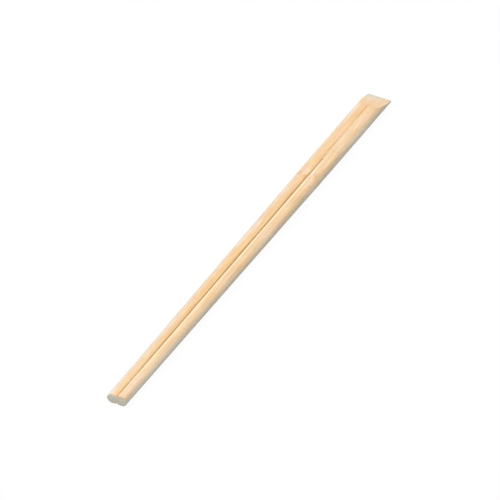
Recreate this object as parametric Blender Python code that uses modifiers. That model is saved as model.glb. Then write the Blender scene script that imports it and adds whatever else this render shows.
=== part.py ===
# A joined pair of slant-cut disposable bamboo chopsticks, lying flat with the tips towards -Y.
# The pair is one strip of bamboo: its faces are moulded into two rounded sticks with a groove between
# them, a saw slit runs from the tips through most of the length, and the head stays whole and is
# cut off on a slant. Metres, +Z up, origin under the middle of the pair on the surface it lies on.

import math

import bmesh
import bpy
from mathutils import Matrix

MM = 0.001
NAME = "joined_chopsticks"

# The strip, over both sticks. It grows wider and thicker from the tips through the taper's length, and
# the head beyond that is parallel
LENGTH = 240.0 * MM
HEAD_WIDTH = 11.35 * MM
TIP_WIDTH = 9.05 * MM
HEAD_THICKNESS = 4.9 * MM
TIP_THICKNESS = 4.4 * MM
TAPER_LENGTH = 185.0 * MM

# The moulded section, the same at the top and the underside
OUTER_RADIUS = 2.15 * MM
SHOULDER_RADIUS = 1.2 * MM
GROOVE_DEPTH = 0.85 * MM
TIP_ROUNDING = 0.35 * MM

# The bamboo's own node, a low swelling that runs out slowly towards the tips and soon towards the head
NODE_FROM_TIP = 170.0 * MM
NODE_REACH_TO_TIP = 18.0 * MM
NODE_REACH_TO_HEAD = 6.0 * MM
NODE_SIDE_RISE = 0.08 * MM
NODE_TOP_RISE = 0.1 * MM

# The slit, cut by a circular blade that comes in from above and stops short of the head
SLIT_LENGTH = 185.5 * MM
KERF = 0.2 * MM
BLADE_RADIUS = 50.0 * MM
BLADE_REACH = 10.0 * MM

# The slanting cut at the head
SLANT_LENGTH = 12.2 * MM
HEAD_END_THICKNESS = 1.9 * MM

# How far a cutter runs past what it cuts, and how near the middle plane a point counts as on it
OVERRUN = 3.0 * MM
SEAM_TOLERANCE = 0.001 * MM

# Fineness of the round stretches
ARC_STEPS = 12
TIP_STEPS = 4
NODE_STEPS = 5
BLADE_STEPS = 40

BAMBOO_COLOUR = (0.93, 0.66, 0.40, 1.0)
BAMBOO_ROUGHNESS = 0.55


def clear_scene():
    for old in list(bpy.data.objects):
        bpy.data.objects.remove(old)


def collection_named(name):
    made = bpy.data.collections.new(name)
    bpy.context.scene.collection.children.link(made)
    return made


def bamboo():
    material = bpy.data.materials.new("bamboo")
    material.use_nodes = True
    shader = material.node_tree.nodes["Principled BSDF"]
    shader.inputs["Base Color"].default_value = BAMBOO_COLOUR
    shader.inputs["Roughness"].default_value = BAMBOO_ROUGHNESS
    shader.inputs["Metallic"].default_value = 0
    return material


def object_of(bm, name, collection):
    mesh = bpy.data.meshes.new(name)
    bm.to_mesh(mesh)
    bm.free()
    made = bpy.data.objects.new(name, mesh)
    collection.objects.link(made)
    return made


def thickness_at(y):
    """Thickness of the strip at a place along it."""
    share = min((y + LENGTH / 2) / TAPER_LENGTH, 1)
    return TIP_THICKNESS + (HEAD_THICKNESS - TIP_THICKNESS) * share


def lengthwise(edge):
    run = edge.verts[1].co - edge.verts[0].co
    return abs(run.y) > abs(run.x) + abs(run.z)


def cut_ring(bm, y):
    bmesh.ops.bisect_plane(
        bm,
        geom=bm.verts[:] + bm.edges[:] + bm.faces[:],
        plane_co=(0, y, 0),
        plane_no=(0, 1, 0),
    )


def tapered_half():
    """One stick as a block that tapers towards the tip. Its inner side lies past the middle plane, so
    that the rounding of its inner corners meets that plane at the groove's depth and leaves a V there."""
    half_angle = math.acos(1 - GROOVE_DEPTH / SHOULDER_RADIUS)
    past_middle = SHOULDER_RADIUS * (1 - math.sin(half_angle))
    bm = bmesh.new()
    bmesh.ops.create_cube(bm, size=1)
    for corner in bm.verts:
        corner.co.x = HEAD_WIDTH / 2 if corner.co.x > 0 else -past_middle
        corner.co.y *= LENGTH
        corner.co.z = HEAD_THICKNESS if corner.co.z > 0 else 0
    tip_corners = [corner for corner in bm.verts if corner.co.y < 0]
    cut_ring(bm, TAPER_LENGTH - LENGTH / 2)
    for corner in tip_corners:
        corner.co.x = TIP_WIDTH / 2 if corner.co.x > 0 else -past_middle
        corner.co.z = TIP_THICKNESS if corner.co.z > 0 else 0
    return bm


def node_reach(past_node):
    """How far the swelling runs from the node, on the head's side of it or on the tips' side."""
    return NODE_REACH_TO_HEAD if past_node > 0 else NODE_REACH_TO_TIP


def cut_node_rings(bm):
    """Cuts rings round the stick where the node's swelling needs them."""
    node_y = NODE_FROM_TIP - LENGTH / 2
    for step in range(-NODE_STEPS, NODE_STEPS + 1):
        cut_ring(bm, node_y + step / NODE_STEPS * node_reach(step))


def round_long_edges(bm):
    """Rounds the stick's outer corners, and the inner ones that form the groove's shoulders."""
    thinnest = min(TIP_THICKNESS, HEAD_THICKNESS)
    for outer, radius in ((True, OUTER_RADIUS), (False, SHOULDER_RADIUS)):
        bmesh.ops.bevel(
            bm,
            geom=[e for e in bm.edges if lengthwise(e) and (e.verts[0].co.x > 0) == outer],
            offset=min(radius, thinnest / 2),
            segments=ARC_STEPS,
            profile=0.5,
            affect="EDGES",
        )


def round_tip(bm):
    """Rounds the tip's rim, but not where the two sticks meet."""
    tip = min(bm.faces, key=lambda face: face.calc_center_median().y)
    bmesh.ops.bevel(
        bm,
        geom=[edge for edge in tip.edges if max(vert.co.x for vert in edge.verts) > 0],
        offset=TIP_ROUNDING,
        segments=TIP_STEPS,
        profile=0.5,
        affect="EDGES",
    )


def swell_node(bm):
    """Raises the top and the outer side round the node. The underside stays flat."""
    node_y = NODE_FROM_TIP - LENGTH / 2
    for vert in bm.verts:
        past_node = vert.co.y - node_y
        away = abs(past_node) / node_reach(past_node)
        if away < 1:
            share = math.cos(away * math.pi / 2) ** 2
            vert.co.x += NODE_SIDE_RISE * share * vert.co.x / (HEAD_WIDTH / 2)
            vert.co.z += NODE_TOP_RISE * share * vert.co.z / thickness_at(vert.co.y)


def slit_cutter(collection):
    """The path of the saw: a thin plate that ends in the blade's rim, which meets the bottom of the
    upper groove at the slit's length."""
    centre_z = BLADE_RADIUS - BLADE_REACH
    slit_end = SLIT_LENGTH - LENGTH / 2
    above = centre_z - (thickness_at(slit_end) - GROOVE_DEPTH)
    centre_y = slit_end - math.sqrt(BLADE_RADIUS**2 - above**2)
    start_y = -LENGTH / 2 - OVERRUN
    outline = [(start_y, centre_z), (start_y, -BLADE_REACH)]
    for step in range(BLADE_STEPS + 1):
        angle = -math.pi / 2 + math.pi / 2 * step / BLADE_STEPS
        outline.append(
            (centre_y + BLADE_RADIUS * math.cos(angle), centre_z + BLADE_RADIUS * math.sin(angle))
        )
    bm = bmesh.new()
    face = bm.faces.new([bm.verts.new((-KERF / 2, y, z)) for y, z in outline])
    grown = bmesh.ops.extrude_face_region(bm, geom=[face])["geom"]
    moved = [v for v in grown if isinstance(v, bmesh.types.BMVert)]
    bmesh.ops.translate(bm, verts=moved, vec=(KERF, 0, 0))
    bmesh.ops.recalc_face_normals(bm, faces=bm.faces[:])
    return object_of(bm, "slit_cutter", collection)


def slant_cutter(collection):
    """A block whose underside is the slanting cut, from the top face down to the head's end."""
    drop = HEAD_THICKNESS - HEAD_END_THICKNESS
    angle = math.atan2(drop, SLANT_LENGTH)
    size = (HEAD_WIDTH + 2 * OVERRUN, 2 * SLANT_LENGTH + 2 * OVERRUN, HEAD_THICKNESS + OVERRUN)
    bm = bmesh.new()
    bmesh.ops.create_cube(bm, size=1)
    bmesh.ops.scale(bm, verts=bm.verts, vec=size)
    bmesh.ops.translate(bm, verts=bm.verts, vec=(0, 0, size[2] / 2))
    bmesh.ops.rotate(bm, verts=bm.verts, cent=(0, 0, 0), matrix=Matrix.Rotation(-angle, 3, "X"))
    cutter = object_of(bm, "slant_cutter", collection)
    cutter.location = (0, LENGTH / 2 - SLANT_LENGTH / 2, HEAD_THICKNESS - drop / 2)
    return cutter


def cut_away(target, cutter):
    cutter.hide_render = True
    cutter.display_type = "WIRE"
    modifier = target.modifiers.new(cutter.name, "BOOLEAN")
    modifier.operation = "DIFFERENCE"
    modifier.object = cutter


def joined_pair(collection):
    """The half stick, mirrored at the middle plane into the whole strip."""
    bm = tapered_half()
    cut_node_rings(bm)
    round_long_edges(bm)
    round_tip(bm)
    swell_node(bm)
    pair = object_of(bm, NAME, collection)
    mirror = pair.modifiers.new("other_stick", "MIRROR")
    mirror.use_axis = (True, False, False)
    mirror.use_bisect_axis = (True, False, False)
    mirror.bisect_threshold = SEAM_TOLERANCE
    mirror.merge_threshold = SEAM_TOLERANCE
    return pair


def main():
    clear_scene()
    parts = collection_named("bamboo_chopsticks")
    cutters = collection_named("cutters")
    pair = joined_pair(parts)
    pair.data.materials.append(bamboo())
    cut_away(pair, slit_cutter(cutters))
    cut_away(pair, slant_cutter(cutters))


main()
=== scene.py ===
import math

import bmesh
import bpy
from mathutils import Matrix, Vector


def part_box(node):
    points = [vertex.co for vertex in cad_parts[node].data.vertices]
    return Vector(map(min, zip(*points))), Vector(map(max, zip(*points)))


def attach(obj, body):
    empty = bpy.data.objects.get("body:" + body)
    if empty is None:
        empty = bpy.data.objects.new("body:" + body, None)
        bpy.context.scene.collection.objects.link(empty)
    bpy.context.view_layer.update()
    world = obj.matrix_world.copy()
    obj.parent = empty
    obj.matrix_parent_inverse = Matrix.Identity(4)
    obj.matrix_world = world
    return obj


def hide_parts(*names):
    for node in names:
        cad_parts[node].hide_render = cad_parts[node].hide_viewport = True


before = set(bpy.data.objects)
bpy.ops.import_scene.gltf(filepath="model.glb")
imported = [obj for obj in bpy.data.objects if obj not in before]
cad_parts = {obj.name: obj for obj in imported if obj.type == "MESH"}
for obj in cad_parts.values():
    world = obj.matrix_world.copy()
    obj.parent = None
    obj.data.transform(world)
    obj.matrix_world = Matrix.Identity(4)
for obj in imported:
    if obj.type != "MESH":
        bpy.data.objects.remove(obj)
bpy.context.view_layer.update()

mm = 0.001
hair = 0.001 * mm        # what is nearer than this counts as being in one place
flat = 0.002             # faces whose normals differ by less, in radians, face the same way
squareOn = 0.9           # a face with more of its normal along an axis faces along it
stripNode = "joined_chopsticks"
nodeLow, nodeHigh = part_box(stripNode)
tipY, headY = nodeLow.y, nodeHigh.y
print("frame loaded, strip", [round(side / mm, 2) for side in nodeHigh - nodeLow], "mm")


# helpers for modelling by hand

def makeActive(thing):
    bpy.ops.object.select_all(action="DESELECT")
    thing.select_set(True)
    bpy.context.view_layer.objects.active = thing


def startEdit(thing):
    makeActive(thing)
    bpy.ops.object.mode_set(mode="EDIT")
    bpy.ops.mesh.select_all(action="DESELECT")


def endEdit():
    bpy.ops.object.mode_set(mode="OBJECT")


def pick(thing, kind, wanted):
    # kind is verts, edges or faces, and wanted says which of them to select
    bpy.ops.mesh.select_mode(type={"verts": "VERT", "edges": "EDGE", "faces": "FACE"}[kind])
    bpy.ops.mesh.select_all(action="DESELECT")
    cage = bmesh.from_edit_mesh(thing.data)
    for item in getattr(cage, kind):
        if wanted(item):
            item.select_set(True)
    cage.select_flush_mode()
    bmesh.update_edit_mesh(thing.data)


def cut(point, normal, **settings):
    # the operator measures its threshold along the normal as it is given, so that is made one long
    bpy.ops.mesh.bisect(
        plane_co=point, plane_no=Vector(normal).normalized(), threshold=hair, **settings)


def cutAll(point, normal, **settings):
    bpy.ops.mesh.select_all(action="SELECT")
    cut(point, normal, **settings)


def roundOff(offset, segments):
    bpy.ops.mesh.bevel(offset=offset, segments=segments, profile=0.5, affect="EDGES")


def lengthwise(edge):
    run = edge.verts[1].co - edge.verts[0].co
    return abs(run.y) > 2 * (abs(run.x) + abs(run.z))


def facing(face, normal):
    return face.normal.angle(normal) < flat


def applyModifier(thing, kind, name, **settings):
    makeActive(thing)
    modifier = thing.modifiers.new(name, kind)
    for key, value in settings.items():
        setattr(modifier, key, value)
    bpy.ops.object.modifier_apply(modifier=modifier.name)


def weigh(thing, groupName, weightAt):
    group = thing.vertex_groups.new(name=groupName)
    for vert in thing.data.vertices:
        group.add([vert.index], weightAt(vert.co), "REPLACE")


# the joined pair: half of it is modelled at +X and mirrored

strip = {
    "headWidth": 11.35 * mm,
    "headThickness": 4.9 * mm,
    "tipWidth": 9.05 * mm,
    "tipThickness": 4.4 * mm,
    "taperLength": 185.0 * mm,     # from the tips; the head is parallel
    "outerRadius": 2.15 * mm,
    "shoulderRadius": 1.2 * mm,
    "grooveDepth": 0.85 * mm,
    "slitLength": 185.5 * mm,
    "slitWidth": 0.2 * mm,
    "slitTipWidth": 0.04 * mm,     # the sticks spring together towards their tips
    "slitTipLength": 28.0 * mm,
    "slitEndLean": 2.8 * mm,       # how much shorter the slit is underneath, where the blade curves
    "slantLength": 12.2 * mm,
    "headEndThickness": 1.9 * mm,
    "tipRounding": 0.35 * mm,
    "headRounding": 0.12 * mm,
    "arcSteps": 16,
    "tipSteps": 4,
    "headSteps": 2,
    "ringsPerStep": (11, 11),      # each stretch is cut twice, into 12 x 12
    "sharpFrom": math.radians(35),
}

knot = {
    "fromTip": 170.0 * mm,         # the bamboo's own node
    "reachToTip": 18.0 * mm,
    "reachToHead": 6.0 * mm,
    "sideRise": 0.08 * mm,
    "topRise": 0.1 * mm,
}
knotY = tipY + knot["fromTip"]
taperY = tipY + strip["taperLength"]
slitEndY = tipY + strip["slitLength"]
slantY = headY - strip["slantLength"]


def thicknessAt(y):
    thin, thick = strip["tipThickness"], strip["headThickness"]
    return thin + (thick - thin) * min((y - tipY) / strip["taperLength"], 1)


def knotShare(y):
    past = y - knotY
    away = abs(past) / (knot["reachToHead"] if past > 0 else knot["reachToTip"])
    return math.cos(away * math.pi / 2) ** 2 if away < 1 else 0.0


def slantNormal():
    drop = strip["headThickness"] - strip["headEndThickness"]
    return Vector((0, drop, strip["slantLength"])).normalized()


def onWall(vert):
    return abs(vert.co.x - strip["slitWidth"] / 2) < hair


def atTip(vert):
    return vert.co.y < tipY + hair


def blankHalf():
    # the block reaches past the middle, so that the rounding leaves a V groove there
    shoulder = strip["shoulderRadius"]
    steepest = math.acos(1 - strip["grooveDepth"] / shoulder)
    pastMiddle = shoulder * (1 - math.sin(steepest))
    outer = strip["headWidth"] / 2
    middle = ((outer - pastMiddle) / 2, (tipY + headY) / 2, strip["headThickness"] / 2)
    bpy.ops.mesh.primitive_cube_add(size=1, location=middle)
    half = bpy.context.object
    half.name = "bamboo_strip"
    half.scale = (outer + pastMiddle, headY - tipY, strip["headThickness"])
    bpy.ops.object.transform_apply(location=True, rotation=True, scale=True)
    startEdit(half)
    cutAll((0, taperY, 0), (0, 1, 0))
    pick(half, "verts", atTip)
    tipScale = (
        (strip["tipWidth"] / 2 + pastMiddle) / (outer + pastMiddle),
        1,
        strip["tipThickness"] / strip["headThickness"],
    )
    bpy.ops.transform.resize(value=tipScale, center_override=(-pastMiddle, tipY, 0))
    for side, radius in ((1, strip["outerRadius"]), (-1, shoulder)):
        pick(half, "edges", lambda edge: lengthwise(edge) and edge.verts[0].co.x * side > 0)
        roundOff(radius, strip["arcSteps"])
    return half


def cutSlitWall(half):
    cutAll((strip["slitWidth"] / 2, 0, 0), (1, 0, 0), use_fill=True, clear_inner=True)
    bpy.ops.mesh.select_all(action="SELECT")
    bpy.ops.mesh.remove_doubles(threshold=10 * hair)
    cutAll((0, tipY + strip["slitTipLength"], 0), (0, 1, 0))
    pick(half, "verts", lambda vert: onWall(vert) and atTip(vert))
    inwards = (strip["slitTipWidth"] - strip["slitWidth"]) / 2
    bpy.ops.transform.translate(value=(inwards, 0, 0))


def cutRings(half):
    for cuts in strip["ringsPerStep"]:
        pick(half, "edges", lengthwise)
        bpy.ops.mesh.subdivide(number_cuts=cuts, quadcorner="STRAIGHT_CUT")


def cutSlant():
    corner = (0, headY, strip["headEndThickness"])
    cutAll(corner, slantNormal(), use_fill=True, clear_outer=True)


def closeHead(half):
    # past the slit's end the wall goes, and its rim moves to the middle, where the halves join
    top = thicknessAt(slitEndY) - strip["grooveDepth"]
    rise = top - strip["grooveDepth"]
    pick(half, "faces", lambda face: all(onWall(vert) for vert in face.verts))
    cut((0, slitEndY, top), (0, rise, -strip["slitEndLean"]))

    def pastEnd(vert):
        lean = strip["slitEndLean"] * (top - vert.co.z) / rise
        return onWall(vert) and vert.co.y > slitEndY - lean - hair

    pick(half, "faces", lambda face: all(pastEnd(vert) for vert in face.verts))
    bpy.ops.mesh.delete(type="FACE")
    pick(half, "verts", pastEnd)
    bpy.ops.transform.translate(value=(-strip["slitWidth"] / 2, 0, 0))


def roundTip(half):
    # the tip's rim is rounded, but not where the sticks meet
    def onRim(edge):
        outermost = max(vert.co.x for vert in edge.verts)
        return all(atTip(vert) for vert in edge.verts) and outermost > strip["slitWidth"] / 2 + hair

    pick(half, "edges", onRim)
    roundOff(strip["tipRounding"], strip["tipSteps"])


def swellKnot(half):
    weigh(half, "side", lambda co: knotShare(co.y) * max(co.x, 0) / (strip["headWidth"] / 2))
    weigh(half, "top", lambda co: knotShare(co.y) * max(co.z, 0) / thicknessAt(co.y))
    for group, axis, rise in (("side", "X", knot["sideRise"]), ("top", "Z", knot["topRise"])):
        applyModifier(half, "DISPLACE", group, direction=axis, strength=rise, mid_level=0,
                      vertex_group=group)


def finishHead(pair):
    # each cut face came in two halves, which become one
    startEdit(pair)
    endNormal = Vector((0, 1, 0))
    for normal in (slantNormal(), endNormal):
        pick(pair, "faces", lambda face: facing(face, normal) and face.calc_center_median().y > 0)
        bpy.ops.mesh.dissolve_faces()
    pick(pair, "faces", lambda face: facing(face, endNormal)
         and face.calc_center_median().y > headY - hair)
    bpy.ops.mesh.region_to_loop()
    roundOff(strip["headRounding"], strip["headSteps"])
    bpy.ops.mesh.select_all(action="SELECT")
    bpy.ops.mesh.normals_make_consistent(inside=False)
    endEdit()


def makeStrip():
    half = blankHalf()
    cutSlitWall(half)
    cutRings(half)
    cutSlant()
    closeHead(half)
    roundTip(half)
    endEdit()
    swellKnot(half)
    applyModifier(half, "MIRROR", "otherStick", use_axis=(True, False, False),
                  use_mirror_merge=True, merge_threshold=2 * hair)
    finishHead(half)
    half.vertex_groups.clear()
    print("strip modelled,", len(half.data.polygons), "faces")
    return half


bambooStrip = makeStrip()
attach(bambooStrip, "root")
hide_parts(stripNode)


# helpers for the node trees

nodeGrid = (200, -170)


def put(tree, kind, at, values=None, **settings):
    # at is the column and row in the node editor, and a value is a number, a colour or an output
    node = tree.nodes.new(kind)
    node.location = [place * step for place, step in zip(at, nodeGrid)]
    for key, value in settings.items():
        setattr(node, key, value)
    for socket, value in (values or {}).items():
        if isinstance(value, bpy.types.NodeSocket):
            tree.links.new(value, node.inputs[socket])
        else:
            node.inputs[socket].default_value = value
    return node


def startGroup(name, inputs=("Place",)):
    tree = bpy.data.node_groups.new(name, "ShaderNodeTree")
    for socket in inputs:
        tree.interface.new_socket(name=socket, in_out="INPUT", socket_type="NodeSocketVector")
    return tree, put(tree, "NodeGroupInput", (0, 0)).outputs


def endGroup(tree, results):
    for name in results:
        tree.interface.new_socket(name=name, in_out="OUTPUT", socket_type="NodeSocketFloat")
    put(tree, "NodeGroupOutput", (9, 0), results)
    return tree


def axesOf(tree, place):
    return put(tree, "ShaderNodeSeparateXYZ", (1, 0), {0: place}).outputs


def vectorMath(tree, at, operation, *values):
    return put(tree, "ShaderNodeVectorMath", at, dict(enumerate(values)), operation=operation)


def stretched(tree, at, place, perMetre, shift):
    # a solid pattern's coordinates, finer across the bamboo than along it
    return vectorMath(tree, at, "MULTIPLY_ADD", place, perMetre, shift).outputs[0]


def noise(tree, at, place, perMetre, shift=(0, 0, 0), detail=2.0, roughness=0.5):
    values = {
        "Vector": stretched(tree, at, place, perMetre, shift),
        "Scale": 1.0, "Detail": detail, "Roughness": roughness}
    at = (at[0] + 1, at[1])
    return put(tree, "ShaderNodeTexNoise", at, values, noise_dimensions="3D").outputs["Fac"]


def ranged(tree, at, value, low, high, toLow=0.0, toHigh=1.0):
    values = {
        "Value": value, "From Min": low, "From Max": high, "To Min": toLow, "To Max": toHigh}
    node = put(tree, "ShaderNodeMapRange", at, values, interpolation_type="SMOOTHSTEP")
    return node.outputs["Result"]


def falling(tree, at, value, low, high):
    return ranged(tree, at, value, low, high, 1.0, 0.0)


def sums(tree, at, operation, first, second=0.0, third=0.0):
    values = {0: first, 1: second, 2: third}
    return put(tree, "ShaderNodeMath", at, values, operation=operation).outputs[0]


def product(tree, at, first, second):
    return sums(tree, at, "MULTIPLY", first, second)


def mixed(tree, at, share, first, second, blend="MIX"):
    values = {0: share, 6: first, 7: second}
    node = put(tree, "ShaderNodeMix", at, values, data_type="RGBA", blend_type=blend)
    return node.outputs[2]


# the bamboo: fibres and their bundles run along Y, so one solid pattern gives streaks on the faces,
# dashes on the slanting cut and dots on the ends

grain = {
    "fibrePerMetre": (3400.0, 60.0, 3400.0),
    "streakPerMetre": (1100.0, 60.0, 1100.0),
    "contrast": (0.3, 0.7),        # the noise values that become 0 and 1
    "bundlePerMetre": (1750.0, 13.0, 1750.0),
    "bundleCore": 0.16,
    "bundleRim": 0.36,
    "bundleScatter": 0.85,
}


def makeFibreGroup():
    tree, given = startGroup("bamboo fibres")
    place = given["Place"]
    fibres = noise(tree, (1, 0), place, grain["fibrePerMetre"], detail=3.0, roughness=0.6)
    streaks = noise(tree, (1, 1), place, grain["streakPerMetre"], (3.1, 0.4, 7.7))
    cells = put(tree, "ShaderNodeTexVoronoi", (2, 2), {
        "Vector": stretched(tree, (1, 2), place, grain["bundlePerMetre"], (0, 0, 0)),
        "Scale": 1.0, "Randomness": grain["bundleScatter"]}).outputs["Distance"]
    return endGroup(tree, {
        "Fibres": ranged(tree, (3, 0), fibres, *grain["contrast"]),
        "Streaks": ranged(tree, (3, 1), streaks, *grain["contrast"]),
        "Bundles": falling(tree, (3, 2), cells, grain["bundleCore"], grain["bundleRim"]),
    })


tone = {
    "wanderPerMetre": (280.0, 22.0, 280.0),
    "wander": 0.16,                # how far the tones drift sideways, as a share of the width
    "headward": (tipY + 125 * mm, tipY + 195 * mm),
    "headRim": 0.78,
    "tipward": (tipY + 20 * mm, tipY + 110 * mm),
    "leftFlank": (-0.2, -0.38),
    "rightFlank": (0.33, 0.45),
    "rightShare": 0.7,
    "onRight": (0.0, mm),
    "onLeft": (-mm, 0.0),
    "lowFrom": (1.5 * mm, 2.4 * mm),    # below its widest part the right flank gets painted shade, darker and greyer
    "lowTo": (0.2 * mm, 0.8 * mm),
    "plainFrom": (2.7 * mm, 3.3 * mm),  # the left one is plain below this, where its rim's painted sheen ends
    "warmPerMetre": (380.0, 85.0, 380.0),
    "warmContrast": (0.42, 0.68),
    "pinkPerMetre": (460.0, 140.0, 460.0),
    "pinkContrast": (0.48, 0.7),
}


def makeToneGroup():
    tree, given = startGroup("bamboo tones")
    place = given["Place"]
    x, y, z = axesOf(tree, place)
    halfWidth = put(tree, "ShaderNodeMapRange", (2, 1), {
        "Value": y, "From Min": tipY, "From Max": taperY,
        "To Min": strip["tipWidth"] / 2, "To Max": strip["headWidth"] / 2}).outputs["Result"]
    across = sums(tree, (3, 0), "DIVIDE", x, halfWidth)
    across = sums(tree, (4, 0), "MULTIPLY_ADD", across, 0.5, 0.5)
    drift = noise(tree, (2, 2), place, tone["wanderPerMetre"], (5.0, 1.0, 9.0))
    drift = sums(tree, (4, 2), "SUBTRACT", drift, 0.5)
    across = sums(tree, (5, 0), "MULTIPLY_ADD", drift, tone["wander"], across)
    fromMiddle = sums(tree, (6, 0), "SUBTRACT", across, 0.5)
    # towards the head the left side's pale rim, a painted sheen, gets narrower
    narrower = ranged(tree, (6, 1), y, *tone["headward"], 1.0, tone["headRim"])
    narrowed = sums(tree, (7, 0), "MULTIPLY_ADD", fromMiddle, narrower, 0.5)
    # towards the tips both flanks get paler
    tipward = falling(tree, (7, 2), y, *tone["tipward"])
    left = ranged(tree, (6, 3), fromMiddle, *tone["leftFlank"])
    right = ranged(tree, (6, 4), fromMiddle, *tone["rightFlank"])
    flanks = sums(tree, (7, 3), "MULTIPLY_ADD", right, tone["rightShare"], left)
    # painted shade on the right flank's lower part, which the left flank, towards the key lamp,
    # doesn't get
    low = falling(tree, (2, 5), z, *tone["lowFrom"])
    low = product(tree, (3, 5), low, ranged(tree, (2, 6), z, *tone["lowTo"]))
    onRight = ranged(tree, (3, 6), x, *tone["onRight"])
    plain = falling(tree, (3, 7), z, *tone["plainFrom"])
    onLeft = falling(tree, (3, 8), x, *tone["onLeft"])
    warm = noise(tree, (2, 9), place, tone["warmPerMetre"], (11.0, 2.0, 5.0))
    pink = noise(tree, (2, 10), place, tone["pinkPerMetre"], (1.0, 8.0, 3.0))
    return endGroup(tree, {
        "Across": sums(tree, (8, 0), "MAXIMUM", across, narrowed),
        "Tip flanks": product(tree, (8, 3), tipward, flanks),
        "Shaded low flank": product(tree, (4, 5), low, onRight),
        "Plain": product(tree, (4, 7), plain, onLeft),
        "Warm": ranged(tree, (4, 9), warm, *tone["warmContrast"]),
        "Pink": ranged(tree, (4, 10), pink, *tone["pinkContrast"]),
    })


knotBand = {
    "wavePerMetre": (260.0, 40.0, 260.0),
    "wave": 3.0 * mm,              # how far the node's line strays along the sticks
    "line": 0.5 * mm,
    "band": (1.35 * mm, 4.5 * mm),
    "blotchPerMetre": (620.0, 420.0, 620.0),
    "darkContrast": (0.48, 0.62),
    "paleContrast": (0.45, 0.32),
}


def makeKnotGroup():
    tree, given = startGroup("bamboo node")
    place = given["Place"]
    y = axesOf(tree, place)["Y"]
    wave = noise(tree, (1, 1), place, knotBand["wavePerMetre"], detail=1.0)
    wave = sums(tree, (3, 1), "SUBTRACT", wave, 0.5)
    along = sums(tree, (3, 0), "SUBTRACT", y, knotY)
    along = sums(tree, (4, 0), "MULTIPLY_ADD", wave, knotBand["wave"], along)
    away = sums(tree, (5, 0), "ABSOLUTE", along)
    band = falling(tree, (6, 1), away, *knotBand["band"])
    blotch = noise(tree, (4, 2), place, knotBand["blotchPerMetre"], (2.0, 6.0, 1.0))
    dark = ranged(tree, (6, 2), blotch, *knotBand["darkContrast"])
    pale = ranged(tree, (6, 3), blotch, *knotBand["paleContrast"])
    return endGroup(tree, {
        "Line": falling(tree, (6, 0), away, 0.0, knotBand["line"]),
        "Blotches": product(tree, (7, 2), dark, band),
        "Pale": product(tree, (7, 3), pale, band),
    })


marks = {
    # middle from the node and reach, both across and along in mm, then colour and strength
    "golden": ((-2.0, -72.0), (2.2, 48.0), (0.96, 0.56, 0.19, 1), 0.55),
    "headGolden": ((0.0, 54.0), (5.5, 8.0), (1.0, 0.60, 0.26, 1), 0.6),
    # the next mark lifts the groove's shade near the head: painted light
    "headGrooveLift": ((-0.7, 33.0), (1.4, 24.0), (0.99, 0.73, 0.48, 1), 0.4),
    "headShade": ((-0.6, 52.0), (0.8, 12.0), (0.80, 0.52, 0.25, 1), 0.4),
    "tipPale": ((-0.6, -148.0), (0.85, 40.0), (1.0, 0.77, 0.47, 1), 0.6),
    "tipOrange": ((-2.3, -153.0), (1.5, 9.0), (1.0, 0.62, 0.38, 1), 0.55),
    "tipCream": ((2.5, -161.0), (0.9, 14.0), (1.0, 0.88, 0.66, 1), 0.75),
    "tipBrown": ((1.8, -167.0), (0.9, 11.0), (0.84, 0.53, 0.33, 1), 0.8),
    "tipPink": ((3.4, -159.0), (1.3, 9.0), (0.95, 0.63, 0.46, 1), 0.75),
    "tipAmber": ((4.0, -167.0), (0.8, 8.0), (0.84, 0.53, 0.29, 1), 0.7),
    "headFlank": ((5.5, 38.0), (0.8, 24.0), (0.97, 0.86, 0.64, 1), 0.55),
    "yellow": ((-2.4, 10.8), (1.3, 5.0), (1.0, 0.68, 0.26, 1), 0.85),
    "headPink": ((3.2, 25.6), (1.7, 6.0), (0.97, 0.71, 0.54, 1), 0.6),
    "headAmber": ((4.5, 16.0), (1.0, 3.4), (0.93, 0.60, 0.33, 1), 0.6),
    "orange": ((-1.3, -0.6), (1.5, 2.0), (0.97, 0.44, 0.17, 1), 0.62),
    "leftYellow": ((-2.4, -6.0), (1.1, 3.0), (1.0, 0.68, 0.32, 1), 0.6),
    "pink": ((-1.6, 3.5), (1.5, 4.4), (0.99, 0.77, 0.60, 1), 0.85),
    "paleStreak": ((1.7, 3.5), (0.8, 5.0), (1.0, 0.88, 0.76, 1), 0.85),
    "greyStreak": ((2.4, 3.4), (0.45, 2.6), (0.66, 0.50, 0.40, 1), 0.85),
    "ochre": ((3.8, 2.4), (1.1, 3.8), (0.84, 0.48, 0.14, 1), 0.95),
    "palePatch": ((2.6, -1.2), (1.3, 3.0), (1.0, 0.81, 0.66, 1), 0.7),
    "rose": ((2.8, -5.2), (1.2, 4.6), (0.98, 0.74, 0.58, 1), 0.75),
    "brown": ((4.5, -5.4), (0.8, 2.0), (0.82, 0.46, 0.22, 1), 0.8),
}

markTexture = {
    "fade": (0.7, 1.4),            # of the reach, with the noise that makes the limit ragged added
    "streakPerMetre": (1500.0, 190.0, 1500.0),
    "streakContrast": (0.38, 0.58),
    "weakest": 0.35,               # how much of a mark is left between its streaks
}


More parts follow.
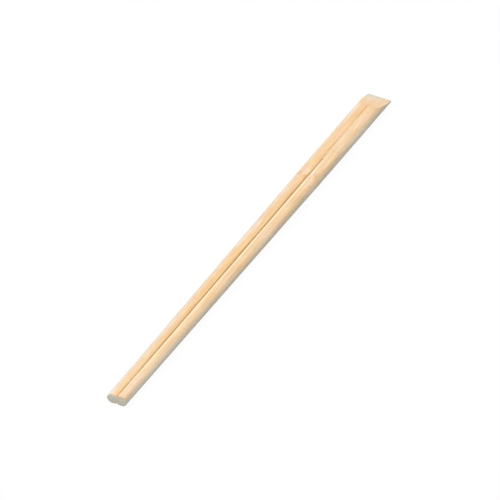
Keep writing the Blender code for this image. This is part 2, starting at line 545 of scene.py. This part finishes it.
def makeMarkGroup():
    # an elongated patch, ragged at its limits and streaky inside
    tree, given = startGroup("bamboo mark", ("Place", "Middle", "Per reach"))
    place = given["Place"]
    offset = vectorMath(tree, (1, 0), "SUBTRACT", place, given["Middle"]).outputs[0]
    scaled = vectorMath(tree, (2, 0), "MULTIPLY", offset, given["Per reach"]).outputs[0]
    away = vectorMath(tree, (3, 0), "LENGTH", scaled).outputs["Value"]
    ragged = noise(tree, (3, 1), place, knotBand["blotchPerMetre"], (4.0, 1.0, 3.0), detail=3.0)
    away = sums(tree, (5, 0), "ADD", away, ragged)
    streaks = noise(tree, (4, 2), place, markTexture["streakPerMetre"], (7.0, 3.0, 2.0))
    streaks = ranged(
        tree, (6, 2), streaks, *markTexture["streakContrast"], markTexture["weakest"], 1.0)
    patch = falling(tree, (6, 0), away, *markTexture["fade"])
    return endGroup(tree, {"Mark": product(tree, (7, 0), patch, streaks)})


# the cut edges' wear, and the painted highlight, shade and lifted shade by the slit and the groove
edgesAndPaintedLight = {
    "roughPerMetre": (800.0, 900.0, 800.0),
    "rough": (1.2, 0.4),           # the noise's factor and what is added, to make distances ragged
    "tipReach": 0.4 * mm,
    "sawnFrom": (-0.5 * mm, mm),            # where the tips' rim is dark, from left to right
    "sawnTo": (3.0 * mm, 4.2 * mm),
    "wallReach": 1.2 * mm,
    "slantReach": 0.6 * mm,
    "slantLow": 9.5 * mm,
    "headReach": 4.2 * mm,
    "headAcross": (-3.5 * mm, 6.5 * mm),
    "slitEnding": (slitEndY - 15 * mm, slitEndY + 5 * mm),
    "highlightFrom": (0.4 * mm, 0.9 * mm),       # the painted highlight right of the slit, on the right stick's shoulder that faces the key lamp
    "highlightTo": (1.3 * mm, 1.9 * mm),
    "highlightPastSlit": 0.35,
    "shading": (tipY, tipY + 60.0 * mm),
    "shadeAside": (0.12 * mm, 0.3 * mm),    # how far right of the groove's bottom its shade lies
    "shadeCore": 0.08 * mm,
    "shadeReach": (0.34 * mm, 0.62 * mm),   # at the tips, and past the shading's end
    "shadeShare": (0.45, 1.0),
}


def makeEdgeAndLightGroup():
    # how near a point is to the tips, the slanting cut, the head's end, the slit and the groove,
    # with the painted highlight and shade beside the slit and in the groove
    tree, given = startGroup("cut edges and painted light")
    place = given["Place"]
    x, y = axesOf(tree, place)[:2]
    rough = noise(tree, (1, 1), place, edgesAndPaintedLight["roughPerMetre"])
    rough = sums(tree, (3, 1), "MULTIPLY_ADD", rough, *edgesAndPaintedLight["rough"])

    fromTip = sums(tree, (3, 0), "SUBTRACT", y, tipY)
    fromTip = product(tree, (4, 0), fromTip, rough)
    tips = falling(tree, (5, 0), fromTip, 0.0, edgesAndPaintedLight["tipReach"])
    sawnAcross = product(tree, (5, 1), ranged(tree, (4, 1), x, *edgesAndPaintedLight["sawnFrom"]),
                         falling(tree, (4, 2), x, *edgesAndPaintedLight["sawnTo"]))
    sawnTips = product(tree, (6, 0), tips, sawnAcross)

    corner = Vector((0, headY, strip["headEndThickness"]))
    offset = vectorMath(tree, (2, 2), "SUBTRACT", corner, place).outputs[0]
    toSlant = vectorMath(tree, (3, 2), "DOT_PRODUCT", offset, slantNormal()).outputs["Value"]
    toSlant = product(tree, (4, 2), toSlant, rough)
    toHead = sums(tree, (3, 3), "SUBTRACT", headY, y)
    toHead = product(tree, (4, 3), toHead, rough)
    nearHead = falling(tree, (5, 3), toHead, 0.0, edgesAndPaintedLight["headReach"])
    headLeft = falling(tree, (5, 4), x, *edgesAndPaintedLight["headAcross"])

    beside = falling(tree, (4, 5), y, *edgesAndPaintedLight["slitEnding"])
    pastSlit = sums(tree, (5, 5), "SUBTRACT", 1.0, beside)
    # a painted highlight on the right stick's shoulder beside the slit, weaker past the slit's end
    pale = ranged(tree, (4, 6), x, *edgesAndPaintedLight["highlightFrom"])
    pale = product(tree, (5, 6), pale, falling(tree, (4, 7), x, *edgesAndPaintedLight["highlightTo"]))
    left = edgesAndPaintedLight["highlightPastSlit"]
    highlightShare = sums(tree, (5, 7), "MULTIPLY_ADD", beside, 1 - left, left)
    aside = ranged(tree, (1, 8), y, *edgesAndPaintedLight["slitEnding"], *edgesAndPaintedLight["shadeAside"])
    aside = sums(tree, (2, 8), "SUBTRACT", x, aside)
    aside = sums(tree, (3, 8), "ABSOLUTE", aside)
    reach = ranged(tree, (3, 9), y, *edgesAndPaintedLight["shading"], *edgesAndPaintedLight["shadeReach"])
    shade = falling(tree, (4, 8), aside, edgesAndPaintedLight["shadeCore"], reach)
    deeper = ranged(tree, (4, 9), y, *edgesAndPaintedLight["shading"], *edgesAndPaintedLight["shadeShare"])
    slitShade = product(tree, (5, 9), shade, deeper)
    return endGroup(tree, {
        "Sawn tips": sawnTips,
        "Pale tips": sums(tree, (7, 0), "SUBTRACT", tips, sawnTips),
        # near the tips the slit's walls are painted lighter, lifting the shade in the narrow slit
        "Walls": falling(tree, (7, 1), fromTip, 0.0, edgesAndPaintedLight["wallReach"]),
        "Slant": falling(tree, (7, 2), toSlant, 0.0, edgesAndPaintedLight["slantReach"]),
        "Slant low": falling(tree, (7, 3), y, slantY, slantY + edgesAndPaintedLight["slantLow"]),
        "Head": product(tree, (7, 4), nearHead, headLeft),
        "Slit's lit shoulder": product(tree, (7, 6), pale, highlightShare),
        "Shade": product(tree, (7, 9), slitShade, beside),
        # past the slit's end the groove's bottom is painted lighter, lifting the shade its V
        # collects
        "Groove": product(tree, (7, 8), shade, pastSlit),
    })


sharedGroups = (makeFibreGroup(), makeToneGroup(), makeKnotGroup(), makeEdgeAndLightGroup())
markGroup = makeMarkGroup()

bamboo = {
    # tones across the pair, from its left side to its right one; the near-white stops at the left
    # rim are painted sheen on the flank towards the key lamp
    "across": (
        (0.04, (0.95, 0.93, 0.88, 1)),
        (0.13, (0.95, 0.86, 0.75, 1)),
        (0.23, (0.95, 0.77, 0.57, 1)),
        (0.30, (0.96, 0.70, 0.43, 1)),
        (0.39, (0.98, 0.64, 0.31, 1)),
        (0.45, (1.00, 0.65, 0.30, 1)),
        (0.54, (0.95, 0.66, 0.37, 1)),
        (0.61, (0.97, 0.71, 0.42, 1)),
        (0.70, (0.97, 0.72, 0.44, 1)),
        (0.78, (0.96, 0.71, 0.42, 1)),
        (0.90, (0.94, 0.62, 0.35, 1)),
        (0.95, (0.90, 0.66, 0.40, 1)),
        (0.99, (0.87, 0.72, 0.47, 1)),
    ),
    "slant": (
        (0.0, (0.97, 0.85, 0.71, 1)),
        (0.2, (1.00, 0.75, 0.51, 1)),
        (1.0, (1.00, 0.72, 0.45, 1)),
    ),
    "end": (
        (0.0, (0.99, 0.91, 0.74, 1)),
        (0.6, (0.99, 0.93, 0.74, 1)),
        (1.0, (0.96, 0.96, 0.78, 1)),
    ),
    # the slit's walls are dark brown: painted shade in the narrow slit
    "slit": (
        (0.0, (0.66, 0.46, 0.17, 1)),
        (1.0, (0.68, 0.48, 0.19, 1)),
    ),
    # what the streaks multiply the tones by
    "streakLight": (1.08, 1.10, 1.13, 1),
    "streakDark": (0.91, 0.82, 0.70, 1),
    # what the layers tint towards
    "warm": (0.95, 0.60, 0.29, 1),
    "pink": (0.95, 0.62, 0.43, 1),
    "bundle": (0.72, 0.43, 0.20, 1),
    "tipFlank": (0.87, 0.83, 0.69, 1),
    # a pale tint for painted light: the highlight on the slit's shoulder, and the slit's walls near
    # the tips lifted out of their shade
    "paintedLightPale": (1.00, 0.86, 0.53, 1),
    "tipEdge": (0.99, 0.90, 0.70, 1),
    "slitShade": (0.71, 0.47, 0.13, 1),
    "knotBlotch": (0.90, 0.45, 0.17, 1),
    "knotPale": (0.97, 0.74, 0.55, 1),
    "knotLine": (0.62, 0.36, 0.19, 1),
    # a paler tint that lifts the groove's shade past the slit: painted light
    "groove": (0.97, 0.76, 0.46, 1),
    "paintedShadeFlank": (0.51, 0.56, 0.48, 1),
    "plain": (0.95, 0.70, 0.44, 1),
    "sawnEdge": (0.55, 0.38, 0.24, 1),
    "headEdge": (0.76, 0.71, 0.57, 1),
    "bump": 0.4,
    "sheen": 0.4,
    "sheenRoughness": 0.5,
}

# the moulded face, the slanting cut, the sawn ends and the slit's walls; a layer is the mask it
# follows, its strength and the colour it tints towards, and the face's marks lie between its layers
finishes = {
    "face": {
        "tones": "across", "streaks": 1.0, "roughness": (0.46, 0.6), "relief": 0.03 * mm,
        "under": (
            ("Warm", 0.6, "warm"),
            ("Pink", 0.65, "pink"),
            ("Bundles", 0.4, "bundle"),
            ("Tip flanks", 0.62, "tipFlank"),
            # painted highlight on the right stick's shoulder
            ("Slit's lit shoulder", 0.75, "paintedLightPale"),
            ("Shade", 0.7, "slitShade"),
            ("Blotches", 0.45, "knotBlotch"),
            ("Pale", 0.25, "knotPale"),
        ),
        "marks": marks,
        "over": (
            # painted light that lifts the groove's shade past the slit
            ("Groove", 0.7, "groove"),
            # painted shade on the right flank's lower part
            ("Shaded low flank", 0.75, "paintedShadeFlank"),
            # the left flank's lower part goes back to the plain tone, below its rim's painted sheen
            ("Plain", 0.85, "plain"),
            ("Line", 0.3, "knotLine"),
            ("Sawn tips", 0.55, "sawnEdge"),
            ("Pale tips", 0.85, "tipEdge"),
            ("Slant", 0.1, "sawnEdge"),
        ),
    },
    "slant": {
        "tones": "slant", "streaks": 0.6, "roughness": (0.6, 0.75), "relief": 0.04 * mm,
        "under": (
            ("Warm", 0.25, "warm"),
            ("Pink", 0.35, "pink"),
            ("Bundles", 0.25, "bundle"),
            ("Slant low", 0.85, "warm"),
            ("Head", 1.0, "headEdge"),
        ),
    },
    "end": {
        "tones": "end", "streaks": 0.25, "roughness": (0.75, 0.85), "relief": 0.02 * mm,
        "under": (("Bundles", 0.05, "bundle"),),
    },
    "slit": {
        "tones": "slit", "streaks": 1.0, "roughness": (0.8, 0.9), "relief": 0.06 * mm,
        "under": (
            ("Warm", 0.2, "warm"),
            ("Bundles", 0.4, "bundle"),
            # painted light: the walls near the tips lifted out of the slit's shade
            ("Walls", 0.9, "paintedLightPale"),
        ),
    },
}


def makeMark(tree, row, place, middle, reach):
    return put(tree, "ShaderNodeGroup", (-1, row), {
        "Place": place,
        "Middle": (middle[0] * mm, knotY + middle[1] * mm, 0),
        "Per reach": (1 / (reach[0] * mm), 1 / (reach[1] * mm), 0),
    }, node_tree=markGroup).outputs["Mark"]


def makeBamboo(name, finish):
    material = bpy.data.materials.new("bamboo " + name)
    material.use_nodes = True
    tree = material.node_tree
    place = put(tree, "ShaderNodeTexCoord", (-5, 0)).outputs["Object"]
    masks = {}
    for row, group in enumerate(sharedGroups):
        node = put(tree, "ShaderNodeGroup", (-4, row * 2), {"Place": place}, node_tree=group)
        masks.update(node.outputs.items())
    ramp = put(tree, "ShaderNodeValToRGB", (-3, 1), {"Fac": masks["Across"]})
    stops = ramp.color_ramp.elements
    for index, (at, stopColour) in enumerate(bamboo[finish["tones"]]):
        stop = stops[index] if index < 2 else stops.new(at)
        stop.position, stop.color = at, stopColour
    streak = mixed(tree, (-3, 0), masks["Streaks"], bamboo["streakDark"], bamboo["streakLight"])
    colour = mixed(
        tree, (-1, 0), finish["streaks"], ramp.outputs["Color"], streak, "MULTIPLY")

    def named(layers):
        return [(masks[mask], strength, bamboo[towards]) for mask, strength, towards in layers]

    layers = named(finish["under"])
    for row, (middle, reach, towards, strength) in enumerate(finish.get("marks", {}).values()):
        layers.append((makeMark(tree, row + 4, place, middle, reach), strength, towards))
    layers += named(finish.get("over", ()))
    for column, (mask, strength, towards) in enumerate(layers):
        share = product(tree, (2 * column, 1), mask, strength)
        colour = mixed(tree, (2 * column + 1, 0), share, colour, towards)

    last = 2 * len(layers)
    fibres, bundles = masks["Fibres"], masks["Bundles"]
    roughness = ranged(tree, (last + 1, 1), fibres, 0.0, 1.0, *finish["roughness"])
    relief = sums(tree, (last, 3), "SUBTRACT", fibres, bundles)
    bump = put(tree, "ShaderNodeBump", (last + 1, 3), {
        "Strength": bamboo["bump"], "Distance": finish["relief"], "Height": relief})
    shader = tree.nodes["Principled BSDF"]
    shader.location.x = (last + 2) * nodeGrid[0]
    tree.nodes["Material Output"].location.x = (last + 4) * nodeGrid[0]
    tree.links.new(colour, shader.inputs["Base Color"])
    tree.links.new(roughness, shader.inputs["Roughness"])
    tree.links.new(bump.outputs["Normal"], shader.inputs["Normal"])
    shader.inputs["Sheen Weight"].default_value = bamboo["sheen"]
    shader.inputs["Sheen Roughness"].default_value = bamboo["sheenRoughness"]
    return material


def finishOf(face):
    if facing(face, slantNormal()) and face.center.y > slantY - mm:
        return "slant"
    if abs(face.normal.y) > squareOn:
        return "end"
    if abs(face.normal.x) > squareOn and abs(face.center.x) < strip["slitWidth"] / 2 + hair:
        return "slit"
    return "face"


def dressStrip():
    bambooStrip.data.materials.clear()
    for name, finish in finishes.items():
        bambooStrip.data.materials.append(makeBamboo(name, finish))
    slots = list(finishes)
    for face in bambooStrip.data.polygons:
        face.material_index = slots.index(finishOf(face))
    makeActive(bambooStrip)
    bpy.ops.object.shade_smooth_by_angle(angle=strip["sharpFrom"])


dressStrip()
print("bamboo finished")


# floor, lights and camera

studio = {
    "floorSize": 6.0,
    "floorGap": 0.02 * mm,         # keeps the floor off the flat underside
    "floorPaper": (0.19, 0.19, 0.19, 1),
    "floorRoughness": 0.9,
    "white": (1, 1, 1, 1),         # what the camera and reflections see of the floor and around
    "shadowEase": 0.94,            # how much of the shadow on the floor is lifted
    # each lamp: degrees round from +X, degrees up, distance, size, power and colour
    "lamps": {
        "key": (180.0, 60.0, 1.5, 0.7, 8.3, (1.0, 0.96, 0.9)),
        "side_card": (-42.0, 22.0, 1.5, 1.2, 3.3, (1.0, 0.99, 0.95)),
    },
    "fillColour": (0.96, 1.0, 1.04, 1),
    "fillStrength": 0.66,
}

view = {
    "turn": 27.7,                  # degrees from -Y towards +X
    "rise": 37.3,
    "distance": 3.0,
    "across": 0.2118,              # metres over the picture's width
    "aim": (0, 0, 2.5 * mm),
    "side": 500,                   # pixels
    "aimPixel": (251.95, 243.55),  # where the aim lies in the picture
    "sensor": 36.0,
    "clipEnd": 20.0,
}


def seenWhite(tree, at):
    # 1 for the camera, reflections and glass
    column, row = at
    path = put(tree, "ShaderNodeLightPath", at).outputs
    seen = sums(tree, (column + 1, row), "MAXIMUM", path["Is Camera Ray"], path["Is Glossy Ray"])
    return sums(tree, (column + 2, row), "MAXIMUM", seen, path["Is Transmission Ray"])


def mixShaders(tree, share, first, second, output):
    mix = put(tree, "ShaderNodeMixShader", (2, 0), {0: share, 1: first, 2: second})
    tree.links.new(mix.outputs[0], tree.nodes[output].inputs["Surface"])


def makeFloor():
    spot = (0, 0, -studio["floorGap"])
    bpy.ops.mesh.primitive_plane_add(size=studio["floorSize"], location=spot)
    floor = bpy.context.object
    floor.name = "studio_floor"
    material = bpy.data.materials.new("floor paper")
    material.use_nodes = True
    tree = material.node_tree
    shader = tree.nodes["Principled BSDF"]
    shader.inputs["Roughness"].default_value = studio["floorRoughness"]
    shader.inputs["Specular IOR Level"].default_value = 0.0
    seen = seenWhite(tree, (-5, 1))
    colour = mixed(tree, (-2, 0), seen, studio["floorPaper"], studio["white"])
    tree.links.new(colour, shader.inputs["Base Color"])
    glow = put(tree, "ShaderNodeEmission", (0, 2), {"Color": studio["white"], "Strength": 1.0})
    share = product(tree, (0, 3), seen, studio["shadowEase"])
    mixShaders(tree, share, shader.outputs[0], glow.outputs[0], "Material Output")
    floor.data.materials.append(material)


def makeWorld():
    world = bpy.data.worlds.new("studio")
    bpy.context.scene.world = world
    world.use_nodes = True
    tree = world.node_tree
    fill = tree.nodes["Background"]
    fill.inputs["Color"].default_value = studio["fillColour"]
    fill.inputs["Strength"].default_value = studio["fillStrength"]
    around = {"Color": studio["white"], "Strength": 1.0}
    white = put(tree, "ShaderNodeBackground", (0, 2), around)
    mixShaders(tree, seenWhite(tree, (-3, 1)), fill.outputs[0], white.outputs[0], "World Output")


def makeLamp(name, turn, rise, distance, size, power, colour):
    turn, rise = math.radians(turn), math.radians(rise)
    level = math.cos(rise)
    towards = Vector((level * math.cos(turn), level * math.sin(turn), math.sin(rise)))
    bpy.ops.object.light_add(type="AREA", location=towards * distance)
    lamp = bpy.context.object
    lamp.name = name
    lamp.rotation_euler = towards.to_track_quat("Z", "Y").to_euler()
    lamp.data.size = size
    lamp.data.energy = power
    lamp.data.color = colour


def makeCamera():
    turn, rise = math.radians(view["turn"]), math.radians(view["rise"])
    level = math.cos(rise)
    back = Vector((math.sin(turn) * level, -math.cos(turn) * level, math.sin(rise)))
    right = Vector((math.cos(turn), math.sin(turn), 0))
    up = back.cross(right)
    pixel = view["across"] / view["side"]
    aimRight, aimDown = (place - view["side"] / 2 for place in view["aimPixel"])
    spot = Vector(view["aim"]) + back * view["distance"]
    spot += (up * aimDown - right * aimRight) * pixel
    bpy.ops.object.camera_add(location=spot, rotation=back.to_track_quat("Z", "Y").to_euler())
    camera = bpy.context.object
    camera.data.sensor_width = view["sensor"]
    camera.data.lens = view["sensor"] * view["distance"] / view["across"]
    camera.data.clip_end = view["clipEnd"]
    bpy.context.scene.camera = camera


makeFloor()
makeWorld()
for lampName, settings in studio["lamps"].items():
    makeLamp(lampName, *settings)
makeCamera()
bpy.context.scene.view_settings.view_transform = "Standard"
print("studio ready")
